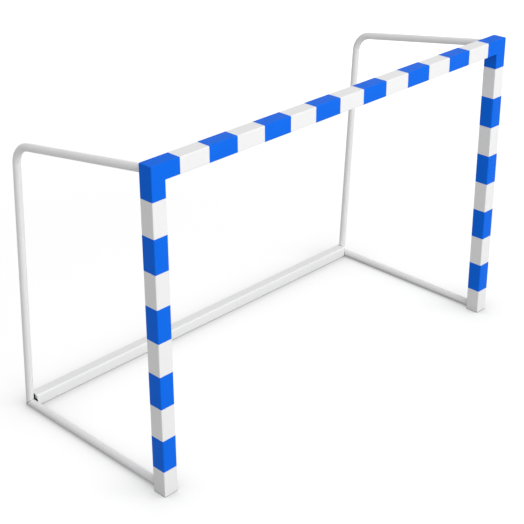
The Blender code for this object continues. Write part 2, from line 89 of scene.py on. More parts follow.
class Run(Enum):
    """Which way a member of the square frame runs."""

    UPRIGHT = "upright"
    ACROSS = "across"

    @property
    def axis(self) -> int:
        """Number of the axis along the member."""
        return 2 if self is Run.UPRIGHT else 0

    def place(self, across: float, back: float, along: float) -> Vector:
        """Turn a member's own coordinates into a point of the goal."""
        return Vector((across, back, along) if self is Run.UPRIGHT else (along, back, across))


@dataclass(frozen=True)
class Layout:
    """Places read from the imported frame, with the sizes of the tubes behind it.

    Depths are from the front faces of the posts and heights from the floor.
    """

    post_x: float
    front_y: float
    back_y: float
    bar_z: float
    rear_bar_front: float
    rear_bar_top: float
    bend_depth: float = 1.025
    bend_height: float = 1.487
    bend_radius: float = 0.120
    foot_depth: float = 1.1065
    tube: float = 0.040
    plate: float = 0.005
    fit: float = 0.0003

    @classmethod
    def from_frame(cls) -> "Layout":
        """Read the places of the corner and the rear bar.

        Returns:
            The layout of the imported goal.
        """
        low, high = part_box("corner_right")
        bar_low, bar_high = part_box("rear_bar")
        half = (high.y - low.y) / 2
        return cls(high.x - half, low.y, high.y, high.z - half, bar_low.y, bar_high.z)

    @property
    def half(self) -> float:
        """Half of the square profile."""
        return (self.back_y - self.front_y) / 2

    @property
    def middle_y(self) -> float:
        """Middle of the square profile in depth."""
        return (self.front_y + self.back_y) / 2

    def hoop_corner(self, side: Side) -> Vector:
        """Where the straight runs of a hoop would meet."""
        return Vector((side.value * self.post_x, self.front_y + self.bend_depth, self.bend_height))

    def plate_middle(self, side: Side) -> Vector:
        """Where a hoop's middle line meets the back of its corner."""
        return Vector((side.value * self.post_x, self.back_y, self.bar_z))

    def hoop_foot(self, side: Side) -> Vector:
        """Where a hoop's middle line meets the middle line of its ground tube."""
        return Vector((side.value * self.post_x, self.front_y + self.foot_depth, self.tube / 2))

    def hoop_up(self, side: Side) -> Vector:
        """Direction of a hoop's upright run."""
        return (self.hoop_corner(side) - self.hoop_foot(side)).normalized()

    def mitre_normal(self, side: Side) -> Vector:
        """Normal of the plane in which a hoop and its ground tube meet, towards the hoop."""
        return (self.hoop_up(side) - Vector((0.0, -1.0, 0.0))).normalized()


class Wiring:
    """Adds nodes to one tree and joins their sockets."""

    def __init__(self, tree: bpy.types.NodeTree) -> None:
        """Remember the tree."""
        self.tree = tree

    def node(self, kind: str, inputs: dict[Any, Any] | None = None, **settings: Any) -> bpy.types.Node:
        """Add a node.

        Args:
            kind: The node's type.
            inputs: Values or output sockets, by the name or number of the input that takes them.
            **settings: The node's own properties.

        Returns:
            The new node.
        """
        node = self.tree.nodes.new(kind)
        for name, value in settings.items():
            setattr(node, name, value)
        for key, value in (inputs or {}).items():
            if isinstance(value, bpy.types.NodeSocket):
                self.tree.links.new(value, node.inputs[key])
            else:
                node.inputs[key].default_value = value
        return node

    def maths(self, operation: str, first: Any, second: Any) -> Any:
        """Join two sockets in a Math node and return its result."""
        return self.node("ShaderNodeMath", {0: first, 1: second}, operation=operation).outputs[0]

    def mix(self, share: Any, first: Any, second: Any) -> Any:
        """Mix two colours and return the result; a share of 1 gives the second."""
        return self.node("ShaderNodeMix", {0: share, 6: first, 7: second}, data_type="RGBA").outputs[2]

    def place(self) -> Any:
        """Return the socket with Object coordinates."""
        return self.node("ShaderNodeTexCoord").outputs["Object"]

    def noise(self, grain: Noise, stretch: Scales = (1.0, 1.0, 1.0)) -> Any:
        """Noise on Object coordinates.

        Args:
            grain: Cells to a metre, and octaves.
            stretch: How many times finer the noise is along each axis.

        Returns:
            The socket with the noise value, around 0.5.
        """
        mapping = self.node("ShaderNodeMapping", {"Vector": self.place(), "Scale": stretch})
        values = {"Vector": mapping.outputs[0], "Scale": grain[0], "Detail": grain[1]}
        return self.node("ShaderNodeTexNoise", values).outputs[0]

    def remap(self, value: Any, low: float, high: float) -> Any:
        """Stretch a noise value, as far as it commonly reaches from 0.5, over a range.

        Args:
            value: Socket with values around 0.5.
            low: Lowest value that comes out.
            high: Highest value that comes out.

        Returns:
            The socket with the new value.
        """
        ends = {"From Min": 0.5 - NOISE_REACH, "From Max": 0.5 + NOISE_REACH}
        values = {"Value": value, "To Min": low, "To Max": high, **ends}
        return self.node("ShaderNodeMapRange", values).outputs[0]

    def shade(self, colour: Colour, amount: float, value: Any) -> Any:
        """Colour that gets a little lighter and darker with a noise value.

        Args:
            colour: The finish's colour.
            amount: The share by which it changes either way.
            value: Socket with values around 0.5.

        Returns:
            The socket with the colour.
        """
        dark = tuple(c * (1 - amount) for c in colour)
        light = tuple(min(1.0, c * (1 + amount)) for c in colour)
        return self.mix(self.remap(value, 0.0, 1.0), (*dark, 1.0), (*light, 1.0))

    def bump(self, value: Any, depth: float, normal: Any = None) -> Any:
        """Turn a height from 0 to 1 into a normal.

        Args:
            value: Socket with the height.
            depth: What a height of 1 stands for, in metres.
            normal: Socket with a normal that this one is laid over.

        Returns:
            The socket with the normal.
        """
        values = {"Height": value, "Strength": 1.0, "Distance": depth}
        if normal is not None:
            values["Normal"] = normal
        return self.node("ShaderNodeBump", values).outputs[0]

    def seen(self) -> Any:
        """Tell the rays that show a surface from those that light one.

        Returns:
            The socket with 1 for camera, glossy and transmission rays.
        """
        path = self.node("ShaderNodeLightPath").outputs
        mirrored = self.maths("MAXIMUM", path["Is Camera Ray"], path["Is Glossy Ray"])
        return self.maths("MAXIMUM", mirrored, path["Is Transmission Ray"])


@dataclass(frozen=True)
class Finish:
    """What every finish of the goal has: a drifting tone and gloss, and a grain over soft waves.

    A noise is given by its cells to a metre and its octaves, and a depth is in metres.
    """

    name: str
    colour: Colour
    roughness: float
    specular: float = 0.5
    metallic: float = 0.0
    tone: float = 0.02
    tone_noise: Noise = (5.0, 3.0)
    gloss_drift: float = 0.05
    gloss_noise: Noise = (16.0, 4.0)
    wave_depth: float = 0.0
    wave_noise: Noise = (14.0, 2.0)
    grain_depth: float = 0.00003
    grain_noise: Noise = (900.0, 3.0)
    stretch: Scales = (1.0, 1.0, 1.0)

    def material(self) -> bpy.types.Material:
        """Build the material, or return it if it is there already.

        Returns:
            The material, with colour, roughness and surface wired in.
        """
        if self.name in bpy.data.materials:
            return bpy.data.materials[self.name]
        material = bpy.data.materials.new(self.name)
        material.use_nodes = True
        material.diffuse_color = (*self.colour, 1.0)
        wires = Wiring(material.node_tree)
        shader = material.node_tree.nodes["Principled BSDF"]
        shader.inputs["Metallic"].default_value = self.metallic
        shader.inputs["Specular IOR Level"].default_value = self.specular
        clean = wires.shade(self.colour, self.tone, wires.noise(self.tone_noise))
        least, most = self.roughness - self.gloss_drift, self.roughness + self.gloss_drift
        sockets = {
            "Base Color": self.soiled(wires, clean),
            "Roughness": wires.remap(wires.noise(self.gloss_noise), least, most),
            "Normal": self.surface(wires),
        }
        for name, socket in sockets.items():
            wires.tree.links.new(socket, shader.inputs[name])
        return material

    def soiled(self, wires: Wiring, clean: Any) -> Any:
        """Return the colour with any darkening; a finish stays as it is unless its class says otherwise.
        """
        return clean

    def surface(self, wires: Wiring) -> Any:
        """Lay the grain over the waves, where there are any.

        Args:
            wires: The material's tree.

        Returns:
            The socket with the normal.
        """
        waves = wires.bump(wires.noise(self.wave_noise), self.wave_depth) if self.wave_depth else None
        return wires.bump(wires.noise(self.grain_noise, self.stretch), self.grain_depth, waves)


@dataclass(frozen=True)
class PowderCoat(Finish):
    """Baked powder paint: an even colour over a fine orange-peel surface, made darker in patches towards
    the floor.
    """

    tone: float = 0.012
    tone_noise: Noise = (3.0, 3.0)
    gloss_noise: Noise = (9.0, 4.0)
    wave_depth: float = 0.00012
    wave_noise: Noise = (22.0, 1.0)
    grain_depth: float = 0.00005
    grain_noise: Noise = (420.0, 2.0)
    # Darker in patches towards the floor: a brown-grey is mixed in, most at the floor.
    dust: float = 0.06
    dust_least: float = 0.2
    dust_height: float = 0.16
    dust_colour: Colour = (0.42, 0.40, 0.36)
    dust_noise: Noise = (34.0, 5.0)

    def soiled(self, wires: Wiring, clean: Any) -> Any:
        """Darken the paint in patches towards the floor, most at the floor itself.

        Args:
            wires: The material's tree.
            clean: Socket with the paint's colour.

        Returns:
            The socket with the darkened colour.
        """
        height = wires.node("ShaderNodeSeparateXYZ", {0: wires.place()}).outputs[2]
        values = {"Value": height, "From Max": self.dust_height, "To Min": self.dust, "To Max": 0.0}
        near_floor = wires.node("ShaderNodeMapRange", values).outputs[0]
        patches = wires.remap(wires.noise(self.dust_noise), self.dust_least, 1.0)
        return wires.mix(wires.maths("MULTIPLY", near_floor, patches), clean, (*self.dust_colour, 1.0))


@dataclass(frozen=True)
class Foil(Finish):
    """Self-adhesive foil: satin, with a faint grain and soft ripples where it was pulled on."""

    wave_depth: float = 0.00025
    grain_depth: float = 0.000012
    grain_noise: Noise = (1500.0, 1.0)


@dataclass(frozen=True)
class MouldedPlastic(Finish):
    """Injection-moulded plastic with a fine eroded texture."""

    tone: float = 0.05
    tone_noise: Noise = (12.0, 4.0)
    gloss_drift: float = 0.08
    gloss_noise: Noise = (60.0, 3.0)


@dataclass(frozen=True)
class BareMetal(Finish):
    """Unpainted metal, cast, plated or rolled: blotched, with a coarser grain."""

    tone: float = 0.12
    tone_noise: Noise = (40.0, 5.0)
    gloss_drift: float = 0.10
    gloss_noise: Noise = (90.0, 3.0)
    grain_depth: float = 0.00008
    grain_noise: Noise = (260.0, 4.0)


@dataclass(frozen=True)
class Finishes:
    """The finishes of the goal: one for each of the record's material slots, and a dark grey for the
    corner welds, which is painted shade for their creases.
    """

    profile_paint: Finish = PowderCoat("white_profile_coat", (0.86, 0.86, 0.86), 0.46, 0.25)
    corner_paint: Finish = PowderCoat("blue_corner_coat", (0.004, 0.148, 0.82), 0.48, 0.04)
    blue_foil: Finish = Foil("blue_band_foil", (0.004, 0.148, 0.82), 0.44, 0.05)
    tube_paint: Finish = PowderCoat("white_tube_coat", (0.92, 0.92, 0.92), 0.42, 0.25)
    # Painted shade: this dark grey on the corner welds stands for the shade in the creases at the mitres
    # and the bar ends.
    weld_paint: Finish = PowderCoat("soiled_weld_coat", (0.23, 0.23, 0.225), 0.50, 0.2)
    bar_paint: Finish = PowderCoat("white_bar_coat", (0.93, 0.93, 0.93), 0.46, 0.25)
    cast_metal: Finish = BareMetal("sand_cast_alloy", (0.60, 0.61, 0.62), 0.52, metallic=1.0)
    # Grey foot flanges: their own plastic colour, made darker to stand for the shade line at the posts'
    # feet as well, so partly painted shade.
    foot_plastic: Finish = MouldedPlastic("pale_foot_plastic", (0.47, 0.47, 0.465), 0.55)
    # Near-black plugs behind the bar's open ends: black plastic, made this dark to stand for the shade
    # inside the ends as well, so partly painted shade.
    plug_plastic: Finish = MouldedPlastic("dark_plug_plastic", (0.012, 0.012, 0.013), 0.60, 0.2)
    hook_plastic: Finish = MouldedPlastic("white_hook_plastic", (0.76, 0.76, 0.75), 0.48)
    bolt_steel: Finish = BareMetal("zinc_plated_bolt", (0.62, 0.63, 0.65), 0.32, metallic=1.0)
    ballast_steel: Finish = BareMetal(
        "rolled_ballast_bar", (0.16, 0.155, 0.15), 0.60, metallic=1.0, stretch=(0.1, 1.0, 1.0)
    )


class Recipe:
    """A Geometry Nodes tree with named inputs, and the plain meshes that it makes."""

    GEOMETRY = "NodeSocketGeometry"
    FINISH = "Finish"
    ROW = {"Count": "NodeSocketInt", "First": "NodeSocketVector", "Pitch": "NodeSocketVector"}

    def __init__(self, name: str, inputs: dict[str, str]) -> None:
        """Start a tree.

        Args:
            name: The tree's name.
            inputs: Socket type by input name, next to the geometry and the finish.
        """
        self.tree = bpy.data.node_groups.new(name, "GeometryNodeTree")
        sockets = {"Base": self.GEOMETRY, self.FINISH: "NodeSocketMaterial", **inputs}
        for label, kind in sockets.items():
            self.tree.interface.new_socket(label, in_out="INPUT", socket_type=kind)
        self.tree.interface.new_socket("Piece", in_out="OUTPUT", socket_type=self.GEOMETRY)
        self.wires = Wiring(self.tree)
        self.entry = self.wires.node("NodeGroupInput").outputs

    def copies(self, points: Any, instance: Any, **turned: Any) -> Any:
        """Set a copy at each point.

        Args:
            points: Socket with the points.
            instance: Socket with what is copied.
            **turned: Sockets for the copies' Rotation and Scale.

        Returns:
            The socket with the copies.
        """
        values = {"Points": points, "Instance": instance, **turned}
        return self.wires.node("GeometryNodeInstanceOnPoints", values).outputs[0]

    def row(self, instance: Any) -> Any:
        """Set copies at an even pitch, by the tree's inputs Count, First and Pitch.

        Args:
            instance: Socket with what is copied.

        Returns:
            The socket with the row.
        """
        starts = {"Start Location": self.entry["First"], "Offset": self.entry["Pitch"]}
        line = self.wires.node("GeometryNodeMeshLine", {"Count": self.entry["Count"], **starts})
        return self.copies(line.outputs[0], instance)

    def random(self, low: Scales, high: Scales) -> Any:
        """Draw a vector between two others for each copy, by the tree's input Seed."""
        values = {0: low, 1: high, "Seed": self.entry["Seed"]}
        return self.wires.node("FunctionNodeRandomValue", values, data_type="FLOAT_VECTOR").outputs[0]

    def close(self, geometry: Any) -> None:
        """End the tree: realized and in its finish.

        Args:
            geometry: Socket with what the tree has made.
        """
        solid = self.wires.node("GeometryNodeRealizeInstances", {0: geometry}).outputs[0]
        values = {"Geometry": solid, "Material": self.entry[self.FINISH]}
        dressed = self.wires.node("GeometryNodeSetMaterial", values)
        self.wires.node("NodeGroupOutput", {0: dressed.outputs[0]})

    def mesh(self, name: str, base: Mesh, finish: Finish, values: dict[str, Any]) -> Mesh:
        """Run the tree on a mesh and keep the result as a plain mesh.

        Args:
            name: Name of the result.
            base: Mesh that the tree starts from.
            finish: What the result is dressed in.
            values: Value by input name.

        Returns:
            The new mesh.
        """
        holder = link(name + "_base", base)
        modifier = holder.modifiers.new(self.tree.name, "NODES")
        modifier.node_group = self.tree
        values = {self.FINISH: finish.material(), **values}
        for item in self.tree.interface.items_tree:
            if item.in_out == "INPUT" and item.name in values:
                modifier[item.identifier] = values[item.name]
        mesh = kept_mesh(holder)
        bpy.data.objects.remove(holder, do_unlink=True)
        mesh.name = name
        return mesh


def link(name: str, data: bpy.types.ID) -> Piece:
    """Put a mesh, a camera or a lamp in the scene.

    Args:
        name: Name of the object.
        data: The mesh, camera or lamp.

    Returns:
        The object, at the origin.
    """
    thing = bpy.data.objects.new(name, data)
    bpy.context.scene.collection.objects.link(thing)
    return thing


def kept_mesh(piece: Piece) -> Mesh:
    """Return a copy of a piece's mesh with its modifiers applied."""
    return bpy.data.meshes.new_from_object(piece.evaluated_get(bpy.context.evaluated_depsgraph_get()))


def plain_mesh(name: str, work: bmesh.types.BMesh) -> Mesh:
    """Turn a worked mesh into a plain one.

    Args:
        name: Name of the plain mesh.
        work: The worked mesh, which is then let go.

    Returns:
        The plain mesh.
    """
    mesh = bpy.data.meshes.new(name)
    work.to_mesh(mesh)
    work.free()
    return mesh


def smooth(mesh: Mesh) -> None:
    """Shade a mesh smooth and keep its true edges sharp."""
    mesh.shade_smooth()
    mesh.set_sharp_from_angle(angle=SMOOTH_BELOW)


def dress(mesh: Mesh, finish: Finish) -> None:
    """Give a mesh one finish and no other."""
    mesh.materials.clear()
    mesh.materials.append(finish.material())


def finished(name: str, mesh: Mesh, finish: Finish) -> Piece:
    """Put a mesh in the scene, shaded smooth and in one finish.

    Args:
        name: Name of the piece.
        mesh: The mesh.
        finish: The finish.

    Returns:
        The piece.
    """
    dress(mesh, finish)
    smooth(mesh)
    return link(name, mesh)


def numbered(stem: str, count: int) -> list[str]:
    """Return the names of nodes that are numbered from 1."""
    return [f"{stem}_{i}" for i in range(1, count + 1)]


def seat(piece: Piece, slot: str, nodes: Iterable[str] = ()) -> None:
    """Let a piece ride on the goal.

    Args:
        piece: The finished piece.
        slot: The record's material slot.
        nodes: The nodes that the piece stands for.
    """
    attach(piece, ROOT)
    if nodes:
        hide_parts(*nodes)
    LOG.info("%s: %d faces in %s", piece.name, len(piece.data.polygons), slot)


def path_mesh(name: str, paths: Sequence[Ring]) -> Mesh:
    """Mesh of bare edges along one or more open paths.

    Args:
        name: Name of the mesh.
        paths: Points of each path.

    Returns:
        The mesh, with no faces.
    """
    verts: Ring = []
    edges: list[tuple[int, int]] = []
    for path in paths:
        start = len(verts)
        verts += path
        edges += [(start + i, start + i + 1) for i in range(len(path) - 1)]
    mesh = bpy.data.meshes.new(name)
    mesh.from_pydata(verts, edges, [])
    return mesh


def stack_mesh(name: str, rings: Sequence[Ring]) -> Mesh:
    """Skin rings of equal length, close both ends and turn the faces outwards.

    Args:
        name: Name of the mesh.
        rings: Rings in order.

    Returns:
        The closed mesh.
    """
    work = bmesh.new()
    rows = [[work.verts.new(point) for point in ring] for ring in rings]
    count = len(rows[0])
    for low, high in zip(rows, rows[1:]):
        for i in range(count):
            j = (i + 1) % count
            work.faces.new((low[i], low[j], high[j], high[i]))
    work.faces.new(rows[0][::-1])
    work.faces.new(rows[-1])
    bmesh.ops.recalc_face_normals(work, faces=work.faces)
    return plain_mesh(name, work)


def rounded_box_outline(half_u: float, half_v: float, radius: float, steps: int = 6) -> Outline:
    """Points of a rounded rectangle about its middle.

    Args:
        half_u: Half of the width.
        half_v: Half of the height.
        radius: Corner radius.
        steps: Steps in each corner.

    Returns:
        The points, anticlockwise.
    """
    points = []
    for quarter, (sign_u, sign_v) in enumerate(((1, 1), (-1, 1), (-1, -1), (1, -1))):
        for step in range(steps + 1):
            angle = math.radians(90 * (quarter + step / steps))
            u = sign_u * (half_u - radius) + radius * math.cos(angle)
            v = sign_v * (half_v - radius) + radius * math.sin(angle)
            points.append((u, v))
    return points


def joined(name: str, meshes: Iterable[Mesh]) -> Mesh:
    """One mesh of several.

    Args:
        name: Name of the new mesh.
        meshes: Meshes that go into it and are then removed.

    Returns:
        The new mesh.
    """
    work = bmesh.new()
    for mesh in meshes:
        work.from_mesh(mesh)
        bpy.data.meshes.remove(mesh)
    return plain_mesh(name, work)


@dataclass
class SmoothCopies:
    """Copies of the flat-sided nodes, merged and shaded so that their rounded edges look round."""

    nodes: dict[str, Piece]
    finishes: Finishes
    merge: float = 1e-6
    flat: float = math.radians(0.2)
    area_weight: int = 100

    def copy(self, node: str, slot: str, name: str) -> None:
        """Make one copy that stands for its node.

        Args:
            node: The node's name.
            slot: The material slot it is finished from.
            name: Name of the piece.
        """
        work = bmesh.new()
        work.from_mesh(self.nodes[node].data)
        bmesh.ops.remove_doubles(work, verts=work.verts, dist=self.merge)
        bmesh.ops.dissolve_limit(
            work, angle_limit=self.flat, verts=work.verts, edges=work.edges, delimit={"SHARP"}
        )
        piece = finished(name, plain_mesh(name, work), getattr(self.finishes, slot))
        self.weigh_normals(piece)
        seat(piece, slot, [node])

    def weigh_normals(self, piece: Piece) -> None:
        """Give the large flat faces the say over the normals along rounded edges.

        Args:
            piece: The piece, which keeps no modifier.
        """
        weighted = piece.modifiers.new("face_weighted", "WEIGHTED_NORMAL")
        weighted.mode = "FACE_AREA"
        weighted.weight = self.area_weight
        weighted.keep_sharp = True
        mesh = kept_mesh(piece)
        piece.modifiers.remove(weighted)
        piece.data = mesh


@dataclass
class SquareFrame:
    """Posts, crossbar, corners and foot inserts."""

    copies: SmoothCopies

    def build(self) -> None:
        """Dress the square frame."""
        self.copies.copy("crossbar", "profile_paint", "crossbar_profile")
        for side in Side:
            self.copies.copy(f"post_{side.label}", "profile_paint", f"post_profile_{side.label}")
            self.copies.copy(f"corner_{side.label}", "corner_paint", f"corner_shell_{side.label}")
            # The foot flanges' darker grey is partly painted shade at the posts' feet.
            self.copies.copy(f"foot_insert_{side.label}", "foot_plastic", f"foot_flange_{side.label}")


@dataclass
class BandFoils:
    """Blue foils, repeated at an even pitch along each member of the square frame."""

    layout: Layout
    finish: Finish
    gap: float = 0.0003
    thickness: float = 0.0003
    radius: float = 0.004
    groove_edge: float = 0.009
    cut_edge: float = 0.00012
    corner_steps: int = 8
    on_crossbar: int = 6
    on_post: int = 4
    recipe: Recipe = field(init=False)

    def __post_init__(self) -> None:
        """Build the tree that repeats one foil along a line."""
        self.recipe = Recipe("foil_row", Recipe.ROW)
        self.recipe.close(self.recipe.row(self.recipe.entry["Base"]))

    def wrap(self, offset: float) -> Outline:
        """The foil's path round the profile.

        Args:
            offset: How far outside the profile it lies.

        Returns:
            Points across (u) and back (v), from one side of the net groove to the other.
        """
        half = self.layout.half + offset
        corners = rounded_box_outline(half, half, self.radius + offset, self.corner_steps)
        count = self.corner_steps + 1
        round_front = corners[count:] + corners[:count]
        return [(-self.groove_edge, half), *round_front, (self.groove_edge, half)]

    def foil(self, length: float, run: Run) -> Mesh:
        """One foil about the origin.

        Args:
            length: Its length along the member.
            run: Which way the member runs.

        Returns:
            The foil's mesh.
        """
        outer = self.wrap(self.gap + self.thickness)
        inner = self.wrap(self.gap)[::-1]
        section = outer + inner
        eased = self.wrap(self.gap + self.thickness - self.cut_edge) + inner
        half = length / 2
        levels = [(-half, eased), (-half + self.cut_edge, section)]
        levels += [(half - self.cut_edge, section), (half, eased)]
        rings = [[run.place(u, v, along) for u, v in outline] for along, outline in levels]
        return stack_mesh("foil", rings)

    def row(self, name: str, nodes: Sequence[str], run: Run) -> None:
        """Foils that stand for a row of nodes.

        Args:
            name: Name of the piece.
            nodes: The nodes in order along the member.
            run: Which way the member runs.
        """
        low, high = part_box(nodes[0])
        next_low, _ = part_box(nodes[1])
        pitch = run.place(0.0, 0.0, next_low[run.axis] - low[run.axis])
        foil = self.foil(high[run.axis] - low[run.axis], run)
        middle = (low + high) / 2
        middle.y = self.layout.middle_y
        values = {"Count": len(nodes), "Pitch": pitch, "First": middle}
        foils = self.recipe.mesh(name, foil, self.finish, values)
        smooth(foils)
        seat(link(name, foils), "blue_foil", nodes)

    def build(self) -> None:
        """Wrap the foils round the posts and the crossbar."""
        self.row("crossbar_foils", numbered("crossbar_band", self.on_crossbar), Run.ACROSS)
        for side in Side:
            nodes = numbered(f"post_band_{side.label}", self.on_post)
            self.row(f"post_foils_{side.label}", nodes, Run.UPRIGHT)


@dataclass
class TubeFrame:
    """Bent side hoops and ground tubes with the plates that hold them, swept round and smooth."""

    layout: Layout
    finish: Finish
    around: int = 56
    bend_steps: int = 28
    plate_half: float = 0.0300
    plate_corner: float = 0.004
    plate_chamfer: float = 0.0005
    plate_floor_gap: float = 0.001
    merge: float = 1e-7
    recipe: Recipe = field(init=False)

    def __post_init__(self) -> None:
        """Build the tree that sweeps a round tube along a path with one bend radius."""
        inputs = {"Radius": "NodeSocketFloat", "Bend Radius": "NodeSocketFloat"}
        steps = {"Bend Steps": "NodeSocketInt", "Around": "NodeSocketInt"}
        self.recipe = Recipe("round_tube", {**inputs, **steps})
        wires, entry = self.recipe.wires, self.recipe.entry
        route = wires.node("GeometryNodeMeshToCurve", {0: entry["Base"]}).outputs[0]
        bend = {"Curve": route, "Count": entry["Bend Steps"], "Radius": entry["Bend Radius"]}
        bent = wires.node("GeometryNodeFilletCurve", bend, mode="POLY").outputs[0]
        circle = {"Resolution": entry["Around"], "Radius": entry["Radius"]}
        section = wires.node("GeometryNodeCurvePrimitiveCircle", circle).outputs[0]
        sweep = {"Curve": bent, "Profile Curve": section, "Fill Caps": True}
        self.recipe.close(wires.node("GeometryNodeCurveToMesh", sweep).outputs[0])

    def tube(self, name: str, route: Ring) -> Mesh:
        """Sweep one tube.

        Args:
            name: Name of the tube.
            route: Corners of its middle line.

        Returns:
            The tube's mesh, closed at both ends.
        """
        values = {
            "Radius": self.layout.tube / 2,
            "Bend Radius": self.layout.bend_radius,
            "Bend Steps": self.bend_steps,
            "Around": self.around,
        }
        return self.recipe.mesh(name, path_mesh(name, [route]), self.finish, values)

    def mitred(self, tube: Mesh, side: Side, keep: int) -> Mesh:
        """Cut a tube off at the mitre and close the cut.

        Args:
            tube: The tube's mesh.
            side: Which side of the goal it is on.
            keep: 1 keeps what lies towards the hoop, -1 what lies towards the ground tube.

        Returns:
            The same mesh, cut.
        """
        normal = self.layout.mitre_normal(side) * keep
        place = self.layout.hoop_foot(side) + normal * self.layout.fit / 2
        work = bmesh.new()
        work.from_mesh(tube)
        bmesh.ops.remove_doubles(work, verts=work.verts, dist=self.merge)
        parts = [*work.verts, *work.edges, *work.faces]
        cut = bmesh.ops.bisect_plane(
            work, geom=parts, plane_co=place, plane_no=normal, clear_inner=True, dist=self.merge
        )
        rim = [part for part in cut["geom_cut"] if isinstance(part, bmesh.types.BMEdge)]
        bmesh.ops.contextual_create(work, geom=rim)
        bmesh.ops.recalc_face_normals(work, faces=work.faces)
        work.to_mesh(tube)
        work.free()
        return tube

    def end_plate(self, name: str, side: Side, low: float, high: float) -> Mesh:
        """Plate behind a post or a corner, with rounded corners and eased edges.

        Args:
            name: Name of the mesh.
            side: Which side of the goal it is on.
            low: Height of its lower edge.
            high: Height of its upper edge.

        Returns:
            The plate's mesh.
        """
        front = self.layout.back_y + self.layout.fit
        back = front + self.layout.plate
        half_v = (high - low) / 2
        middle_x, middle_z = side.value * self.layout.post_x, (low + high) / 2
        eased = self.plate_chamfer
        rings = []
        for y, inset in ((front, eased), (front + eased, 0.0), (back - eased, 0.0), (back, eased)):
            half_u = self.plate_half - inset
            outline = rounded_box_outline(half_u, half_v - inset, self.plate_corner - inset)
            rings.append([Vector((middle_x + u, y, middle_z + v)) for u, v in outline])
        return stack_mesh(name, rings)

    def hoop(self, side: Side) -> None:
        """Build a hoop.

        Args:
            side: Which side of the goal it is on.
        """
        name = f"side_hoop_{side.label}"
        corner = self.layout.hoop_corner(side)
        foot = self.layout.hoop_foot(side)
        plate_middle = self.layout.plate_middle(side)
        back = (corner - plate_middle).normalized()
        start = plate_middle + back * (self.layout.fit + self.layout.plate / 2)
        route = [start, corner, foot - self.layout.hoop_up(side) * self.layout.tube]
        tube = self.mitred(self.tube(name, route), side, 1)
        low = self.layout.bar_z - self.plate_half
        plate = self.end_plate(name + "_plate", side, low, low + 2 * self.plate_half)
        mesh = joined(name, [tube, plate])
        seat(finished(name, mesh, self.finish), "tube_paint", [f"hoop_{side.label}"])

    def ground_tube(self, side: Side) -> None:
        """Build a ground tube.

        Args:
            side: Which side of the goal it is on.
        """
        name = f"floor_tube_{side.label}"
        node = f"ground_tube_{side.label}"
        foot = self.layout.hoop_foot(side)
        start = Vector((foot.x, self.layout.back_y + self.layout.fit + self.layout.plate / 2, foot.z))
        stop = foot + Vector((0.0, self.layout.tube, 0.0))
        tube = self.mitred(self.tube(name, [start, stop]), side, -1)
        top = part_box(node)[1].z
        plate = self.end_plate(name + "_plate", side, self.plate_floor_gap, top)
        mesh = joined(name, [tube, plate])
        seat(finished(name, mesh, self.finish), "tube_paint", [node])

    def build(self) -> None:
        """Build both sides."""
        for side in Side:
            self.hoop(side)
            self.ground_tube(side)


